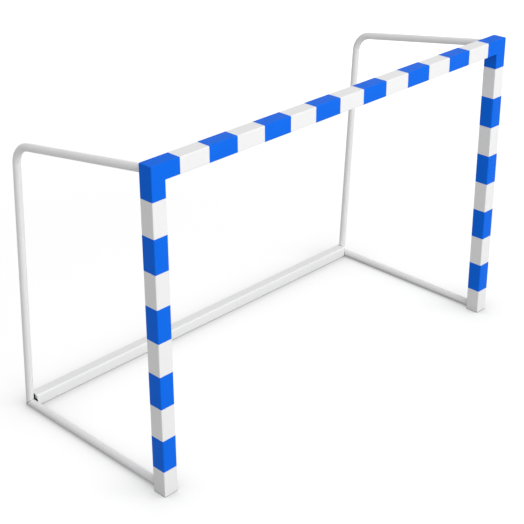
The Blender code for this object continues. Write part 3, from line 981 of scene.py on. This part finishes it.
@dataclass
class WeldBeads:
    """Weld beads where the tubes meet their plates, each other and the rear bar; the beads at the mitres
    and at the bar are dark grey, painted shade for those creases.
    """

    layout: Layout
    finish: Finish
    # Finish of the corner beads: dark grey, painted shade for the creases.
    soiled: Finish
    radius: float = 0.0017
    corner_radius: float = 0.0021
    drop_least: Scales = (0.62, 0.94, 0.94)
    drop_most: Scales = (0.78, 1.08, 1.08)
    drop_detail: int = 2
    pitch: float = 0.0012
    seed: int = 4
    sink: float = 0.0007
    path_steps: int = 72
    lift: float = 0.0024
    bar_edge: float = 0.009
    bar_bead: float = 0.013
    recipe: Recipe = field(init=False)

    def __post_init__(self) -> None:
        """Build the tree that lays overlapping flattened drops along a path."""
        inputs = {"Radius": "NodeSocketFloat", "Pitch": "NodeSocketFloat", "Seed": "NodeSocketInt"}
        self.recipe = Recipe("weld_bead", inputs)
        wires, entry = self.recipe.wires, self.recipe.entry
        route = wires.node("GeometryNodeMeshToCurve", {0: entry["Base"]}).outputs[0]
        spacing = {"Curve": route, "Length": entry["Pitch"]}
        spaced = wires.node("GeometryNodeResampleCurve", spacing, mode="LENGTH").outputs[0]
        ball = {"Radius": entry["Radius"], "Subdivisions": self.drop_detail}
        drop = wires.node("GeometryNodeMeshIcoSphere", ball).outputs[0]
        soft = wires.node("GeometryNodeSetShadeSmooth", {"Geometry": drop}).outputs[0]
        run = {"Vector": wires.node("GeometryNodeInputTangent").outputs[0]}
        along = wires.node("FunctionNodeAlignRotationToVector", run, axis="X").outputs[0]
        size = self.recipe.random(self.drop_least, self.drop_most)
        self.recipe.close(self.recipe.copies(spaced, soft, Rotation=along, Scale=size))

    def ring(self, middle: Vector, radius: float, rise: float, lean: float = 0.0) -> Ring:
        """Ring round a tube, less the stretch that the floor would hide.

        Args:
            middle: The ring's middle, on the tube's middle line.
            radius: Half of the ring's width.
            rise: Half of its height.
            lean: How far its top lies behind its middle.

        Returns:
            A path, which starts and stops beside the left-out stretch.
        """
        points = []
        for i in range(self.path_steps + 1):
            angle = 2 * math.pi * i / self.path_steps - math.pi / 2
            across, up = math.cos(angle), math.sin(angle)
            points.append(middle + Vector((radius * across, lean * up, rise * up)))
        return [point for point in points if point.z > self.lift]

    def plate_rings(self, side: Side) -> list[Ring]:
        """Rings where the hoop and the ground tube leave their plates.

        Args:
            side: Which side of the goal they are on.

        Returns:
            The two rings.
        """
        radius = self.layout.tube / 2
        start = self.layout.plate_middle(side)
        run = self.layout.hoop_corner(side) - start
        slope = run.z / run.y
        behind = self.layout.fit + self.layout.plate
        hoop_middle = start + Vector((0.0, behind, slope * behind))
        foot = self.layout.hoop_foot(side)
        ground_middle = Vector((foot.x, self.layout.back_y + behind, foot.z))
        steep = math.sqrt(1 + slope * slope)
        return [self.ring(hoop_middle, radius, radius * steep), self.ring(ground_middle, radius, radius)]

    def mitre_ring(self, side: Side) -> Ring:
        """Ring round the mitre between hoop and ground tube.

        Args:
            side: Which side of the goal it is on.

        Returns:
            The ring's path.
        """
        normal = self.layout.mitre_normal(side)
        radius = self.layout.tube / 2 - self.sink
        return self.ring(self.layout.hoop_foot(side), radius, radius, -radius * normal.z / normal.y)

    def bar_runs(self, side: Side) -> list[Ring]:
        """Short runs where the bar's end meets the hoop, at its top, and the ground tube, at its front.

        Args:
            side: Which side of the goal it is on.

        Returns:
            The two runs.
        """
        foot = self.layout.hoop_foot(side)
        seam = foot.x - side.value * (self.layout.tube / 2 + self.layout.fit / 2)
        top = self.layout.rear_bar_top - self.sink
        front = self.layout.rear_bar_front + self.sink
        up = self.layout.hoop_up(side)
        hoop_y = foot.y + up.y / up.z * (top - foot.z)
        reach = self.bar_bead
        over = [Vector((seam, hoop_y - reach, top)), Vector((seam, hoop_y + reach, top))]
        low = max(foot.z - reach, self.bar_edge)
        upright = [Vector((seam, front, low)), Vector((seam, front, foot.z + reach))]
        return [over, upright]

    def build(self) -> None:
        """Lay the beads of both sides."""
        for side in Side:
            self.lay(f"plate_welds_{side.label}", self.plate_rings(side), self.finish, self.radius)
            # The mitre ring and the bar runs get the dark grey: painted shade along those creases.
            corner_runs = [self.mitre_ring(side), *self.bar_runs(side)]
            self.lay(f"corner_welds_{side.label}", corner_runs, self.soiled, self.corner_radius)

    def lay(self, name: str, paths: Sequence[Ring], finish: Finish, radius: float) -> None:
        """Lay beads along paths.

        Args:
            name: Name of the piece.
            paths: The paths.
            finish: What the beads are painted with.
            radius: Half of a bead's width.
        """
        values = {"Radius": radius, "Pitch": self.pitch, "Seed": self.seed}
        beads = self.recipe.mesh(name, path_mesh("beads", paths), finish, values)
        seat(link(name, beads), "tube_paint")


@dataclass
class RearBar:
    """Square ground bar and its plugs."""

    copies: SmoothCopies

    def build(self) -> None:
        """Dress the bar and its plugs."""
        self.copies.copy("rear_bar", "bar_paint", "rear_bar_tube")
        for side in Side:
            # The near-black plugs are partly painted shade inside the bar's ends.
            self.copies.copy(f"bar_plug_{side.label}", "plug_plastic", f"end_plug_{side.label}")


@dataclass
class Bolts:
    """Low round-headed bolts with hex sockets, set at random turns."""

    layout: Layout
    finish: Finish
    around: int = 30
    head: float = 0.0065
    head_height: float = 0.0045
    shank: float = 0.004
    socket: float = 0.0025
    socket_depth: float = 0.0025
    tip: float = 0.001
    dome_steps: int = 6
    dome_foot: float = 0.3
    dome_turn: float = 0.36 * math.pi
    dome_fullness: float = 0.8
    socket_taper: float = 0.97
    in_corner: int = 4
    in_hoop_plate: int = 4
    in_ground_plate: int = 2
    recipe: Recipe = field(init=False)

    def __post_init__(self) -> None:
        """Build the tree that sets one bolt at each point."""
        self.recipe = Recipe("set_bolts", {"Bolt": "NodeSocketObject", "Seed": "NodeSocketInt"})
        wires, entry = self.recipe.wires, self.recipe.entry
        bolt = wires.node("GeometryNodeObjectInfo", {"Object": entry["Bolt"]}).outputs["Geometry"]
        turn = self.recipe.random((0.0, 0.0, 0.0), (0.0, math.pi / 3, 0.0))
        self.recipe.close(self.recipe.copies(entry["Base"], bolt, Rotation=turn))

    def ring(self, radius: float, along: float) -> Ring:
        """Circle about the bolt's axis."""
        turns = (2 * math.pi * i / self.around for i in range(self.around))
        return [Vector((radius * math.cos(a), along, radius * math.sin(a))) for a in turns]

    def hex_ring(self, flat: float, along: float) -> Ring:
        """Hexagon about the bolt's axis, with as many points as a circle has.

        Args:
            flat: How far its flats lie from the axis.
            along: Its place along the axis.

        Returns:
            The points.
        """
        points = []
        for i in range(self.around):
            angle = 2 * math.pi * i / self.around
            from_flat = (angle + math.pi / 6) % (math.pi / 3) - math.pi / 6
            radius = flat / math.cos(from_flat)
            points.append(Vector((radius * math.cos(angle), along, radius * math.sin(angle))))
        return points

    def bolt(self, length: float) -> Piece:
        """One bolt with its head's seat at the origin and its shank towards -Y.

        Args:
            length: Length of the shank.

        Returns:
            The bolt, which the tree copies.
        """
        rings = [
            self.ring(self.shank - self.tip, -length),
            self.ring(self.shank, -length + self.tip),
            self.ring(self.shank, 0.0),
            self.ring(self.head, 0.0),
        ]
        base = self.dome_foot * self.head_height
        for step in range(self.dome_steps + 1):
            angle = self.dome_turn * step / self.dome_steps
            rise = base + (self.head_height - base) * math.sin(angle) / math.sin(self.dome_turn)
            rings.append(self.ring(self.head * math.cos(angle) ** self.dome_fullness, rise))
        rings.append(self.hex_ring(self.socket, self.head_height))
        socket_floor = self.head_height - self.socket_depth
        rings.append(self.hex_ring(self.socket * self.socket_taper, socket_floor))
        mesh = stack_mesh("bolt", rings)
        smooth(mesh)
        return link("bolt", mesh)

    def set_row(self, name: str, nodes: Sequence[str]) -> None:
        """Bolts that stand for a list of nodes.

        Args:
            name: Name of the piece.
            nodes: The nodes, all with the same length.
        """
        low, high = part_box(nodes[0])
        bolt = self.bolt(high.y - low.y - self.head_height)
        seats = []
        for node in nodes:
            low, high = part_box(node)
            middle = (low + high) / 2
            seats.append([Vector((middle.x, high.y - self.head_height, middle.z))])
        values = {"Bolt": bolt, "Seed": len(nodes)}
        bolts = self.recipe.mesh(name, path_mesh("seats", seats), self.finish, values)
        bpy.data.objects.remove(bolt, do_unlink=True)
        seat(link(name, bolts), "bolt_steel", nodes)

    def both_sides(self, kind: str, count: int) -> list[str]:
        """Return the names of the bolts of one kind, left ones first."""
        return [name for side in Side for name in numbered(f"{kind}_bolt_{side.label}", count)]

    def build(self) -> None:
        """Set the bolts of the corner inserts and of the plates."""
        self.set_row("corner_bolts", self.both_sides("corner", self.in_corner))
        hoop = self.both_sides("hoop", self.in_hoop_plate)
        self.set_row("plate_bolts", hoop + self.both_sides("ground", self.in_ground_plate))


@dataclass
class NetStrips:
    """Moulded strips in the net grooves, with a row of hooks on each."""

    layout: Layout
    finish: Finish
    spacing: float = 0.190
    reach: float = 0.016
    tip: float = 0.010
    thickness: float = 0.004
    width: float = 0.0094
    base_width: float = 0.0154
    base_depth: float = 0.0049
    groove_depth: float = 0.0077
    proud: float = 0.001
    edge: float = 0.0012
    edge_steps: int = 4
    mouth_edge: float = 0.0006
    root: float = 0.001
    end_share: float = 0.7
    bend_steps: int = 8
    recipe: Recipe = field(init=False)

    def __post_init__(self) -> None:
        """Build the tree that joins a row of hooks to its strip."""
        self.recipe = Recipe("hook_row", {"Hook": "NodeSocketObject", **Recipe.ROW})
        wires, entry = self.recipe.wires, self.recipe.entry
        hook = wires.node("GeometryNodeObjectInfo", {"Object": entry["Hook"]}).outputs["Geometry"]
        both = wires.node("GeometryNodeJoinGeometry")
        for part in (self.recipe.row(hook), entry["Base"]):
            wires.tree.links.new(part, both.inputs[0])
        self.recipe.close(both.outputs[0])

    def hook(self, run: Run) -> Piece:
        """One hook with its root at the origin.

        Args:
            run: Which way its strip runs.

        Returns:
            The hook, which the tree copies.
        """
        bend = self.thickness
        stem = self.reach - self.thickness / 2 - bend
        middle_line = [(-self.root, 0.0, 0.0), (stem, 0.0, 0.0)]
        for step in range(1, self.bend_steps + 1):
            angle = math.pi / 2 * step / self.bend_steps
            back = stem + bend * math.sin(angle)
            middle_line.append((back, bend * (1 - math.cos(angle)), angle))
        end = self.tip - self.thickness / 2
        middle_line += [(stem + bend, end, math.pi / 2), (stem + bend, end + self.edge, math.pi / 2)]
        rings = []
        for i, (back, along, angle) in enumerate(middle_line):
            share = self.end_share if i == len(middle_line) - 1 else 1.0
            half_u, half_v = share * self.width / 2, share * self.thickness / 2
            ring = []
            for u, v in rounded_box_outline(half_u, half_v, share * self.edge, self.edge_steps):
                ring.append(run.place(u, back - v * math.sin(angle), along + v * math.cos(angle)))
            rings.append(ring)
        mesh = stack_mesh("hook", rings)
        smooth(mesh)
        return link("hook", mesh)

    def strip(self, low: float, high: float, across: float, run: Run) -> Mesh:
        """The strip itself: a wide base behind the groove's lips and a tongue in its mouth.

        Args:
            low: Where it starts along the member.
            high: Where it ends.
            across: The member's middle.
            run: Which way the member runs.

        Returns:
            The strip's mesh.
        """
        floor = self.layout.back_y - self.groove_depth
        shoulder = floor + self.base_depth
        back = self.layout.back_y + self.proud
        base, tongue = self.base_width / 2, self.width / 2
        half = [(base, floor), (base, shoulder), (tongue, shoulder), (tongue, back - self.mouth_edge)]
        half.append((tongue - self.mouth_edge, back))
        outline = half + [(-u, v) for u, v in reversed(half)]
        rings = [[run.place(across + u, v, along) for u, v in outline] for along in (low, high)]
        return stack_mesh("strip", rings)

    def fit(self, node: str, name: str, run: Run) -> None:
        """Fit one strip with its hooks.

        Args:
            node: The node that it stands for.
            name: Name of the piece.
            run: Which way its member runs.
        """
        low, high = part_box(node)
        cross = 2 - run.axis
        across = (low[cross] + high[cross]) / 2
        start, stop = low[run.axis], high[run.axis]
        count = int((stop - start) / self.spacing)
        first = (start + stop) / 2 - (count - 1) * self.spacing / 2
        hook = self.hook(run)
        values = {
            "Hook": hook,
            "Count": count,
            "First": run.place(across, self.layout.back_y, first),
            "Pitch": run.place(0.0, 0.0, self.spacing),
        }
        mesh = self.recipe.mesh(name, self.strip(start, stop, across, run), self.finish, values)
        bpy.data.objects.remove(hook, do_unlink=True)
        seat(link(name, mesh), "hook_plastic", [node])

    def build(self) -> None:
        """Fit the strips of the posts and the crossbar."""
        self.fit("net_strip_top", "net_hooks_top", Run.ACROSS)
        for side in Side:
            self.fit(f"net_strip_{side.label}", f"net_hooks_{side.label}", Run.UPRIGHT)


@dataclass
class HiddenMetal:
    """Nodes that stay as they are and only get their finish."""

    nodes: dict[str, Piece]
    finishes: Finishes

    def build(self) -> None:
        """Dress the inserts and the ballast."""
        slots = {f"corner_insert_{side.label}": "cast_metal" for side in Side}
        for node, slot in {**slots, "ballast_rod": "ballast_steel"}.items():
            dress(self.nodes[node].data, getattr(self.finishes, slot))
            LOG.info("%s: node kept in %s", node, slot)


@dataclass
class Studio:
    """Floor, light and camera."""

    layout: Layout
    floor_size: float = 60.0
    floor_colour: float = 0.50
    floor_glow: float = 0.62
    far_glow: float = 0.90
    fade_start: float = 2.0
    fade_end: float = 7.0
    # Painted contact shade on the floor: an AO node darkens it near the goal, within this reach and down
    # to this level.
    contact_reach: float = 0.35
    contact_level: float = 0.30
    contact_samples: int = 8
    sky: float = 0.45
    key_strength: float = 2.0
    key_radius: float = 10.0
    key_distance: float = 12.0
    key_height: float = 38.0
    key_turn: float = 2.0
    camera_place: tuple[float, float, float] = (-4.4911, -3.8046, 3.7414)
    camera_turn: float = -46.0967
    camera_tilt: float = 25.0883
    lens: float = 88.713
    shift: tuple[float, float] = (-0.02415, -0.07295)
    sight: float = 200.0

    def camera(self) -> None:
        """Set the camera where the photographer's was; its place is from the goal's front on the floor."""
        data = bpy.data.cameras.new("photo_camera")
        data.lens = self.lens
        data.shift_x, data.shift_y = self.shift
        data.clip_end = self.sight
        camera = link("photo_camera", data)
        x, y, z = self.camera_place
        camera.location = (x, y + self.layout.front_y, z)
        camera.rotation_euler = (math.radians(90 - self.camera_tilt), 0.0, math.radians(self.camera_turn))
        bpy.context.scene.camera = camera

    def floor(self) -> None:
        """Lay a pale floor that keeps the goal's shadow, with painted contact shade from an AO node that
        darkens it near the goal.
        """
        half = self.floor_size / 2
        mesh = bpy.data.meshes.new("studio_floor")
        corners = [(-half, -half, 0.0), (half, -half, 0.0), (half, half, 0.0), (-half, half, 0.0)]
        mesh.from_pydata(corners, [], [(0, 1, 2, 3)])
        material = bpy.data.materials.new("studio_floor")
        material.use_nodes = True
        wires = Wiring(material.node_tree)
        material.node_tree.nodes.clear()
        # Painted shade: the AO node darkens the floor's colour and its glow near the goal.
        reach = {"Distance": self.contact_reach}
        occlusion = wires.node("ShaderNodeAmbientOcclusion", reach, samples=self.contact_samples)
        painted_shade_ends = {"Value": occlusion.outputs["AO"], "To Min": self.contact_level}
        painted_shade = wires.node("ShaderNodeMapRange", painted_shade_ends).outputs[0]
        shade = wires.mix(painted_shade, BLACK, (*(self.floor_colour,) * 3, 1.0))
        matt = wires.node("ShaderNodeBsdfDiffuse", {"Color": shade}).outputs[0]
        shaded = wires.maths("MULTIPLY", wires.seen(), painted_shade)
        away = wires.node("ShaderNodeVectorMath", {0: wires.place()}, operation="LENGTH").outputs["Value"]
        fade = {"From Min": self.fade_start, "From Max": self.fade_end}
        ends = {"Value": away, "To Min": self.floor_glow, "To Max": self.far_glow, **fade}
        glow_away = wires.node("ShaderNodeMapRange", ends, interpolation_type="SMOOTHSTEP").outputs[0]
        level = wires.maths("MULTIPLY", shaded, glow_away)
        glow = wires.node("ShaderNodeEmission", {"Strength": level}).outputs[0]
        both = wires.node("ShaderNodeAddShader", {0: matt, 1: glow}).outputs[0]
        wires.node("ShaderNodeOutputMaterial", {"Surface": both})
        mesh.materials.append(material)
        link("studio_floor", mesh)

    def light(self) -> None:
        """Light the goal from a plain sky and one large soft lamp."""
        world = bpy.data.worlds.new("studio_sky")
        bpy.context.scene.world = world
        world.use_nodes = True
        wires = Wiring(world.node_tree)
        world.node_tree.nodes.clear()
        sky = wires.node("ShaderNodeBackground", {"Color": WHITE, "Strength": self.sky}).outputs[0]
        white = wires.node("ShaderNodeBackground", {"Color": WHITE, "Strength": 1.0}).outputs[0]
        mix = wires.node("ShaderNodeMixShader", {0: wires.seen(), 1: sky, 2: white}).outputs[0]
        wires.node("ShaderNodeOutputWorld", {"Surface": mix})
        data = bpy.data.lights.new("key", "AREA")
        data.shape = "DISK"
        data.size = 2 * self.key_radius
        data.energy = self.key_strength * math.pi * (self.key_radius**2 + self.key_distance**2)
        lamp = link("key", data)
        lamp.rotation_euler = (math.radians(90 - self.key_height), 0.0, math.radians(self.key_turn))
        lamp.location = lamp.rotation_euler.to_matrix() @ Vector((0.0, 0.0, self.key_distance))

    def build(self) -> None:
        """Set up the studio."""
        self.camera()
        self.floor()
        self.light()
        bpy.context.scene.view_settings.view_transform = "Standard"


def main() -> None:
    """Dress the goal and set up its studio."""
    logging.basicConfig(level=logging.INFO, format="%(name)s: %(message)s")
    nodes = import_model()["nodes"]
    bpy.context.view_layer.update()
    layout = Layout.from_frame()
    finishes = Finishes()
    copies = SmoothCopies(nodes, finishes)
    Studio(layout).build()
    SquareFrame(copies).build()
    BandFoils(layout, finishes.blue_foil).build()
    TubeFrame(layout, finishes.tube_paint).build()
    RearBar(copies).build()
    WeldBeads(layout, finishes.tube_paint, finishes.weld_paint).build()
    Bolts(layout, finishes.bolt_steel).build()
    NetStrips(layout, finishes.hook_plastic).build()
    HiddenMetal(nodes, finishes).build()


if __name__ == "__main__":
    main()
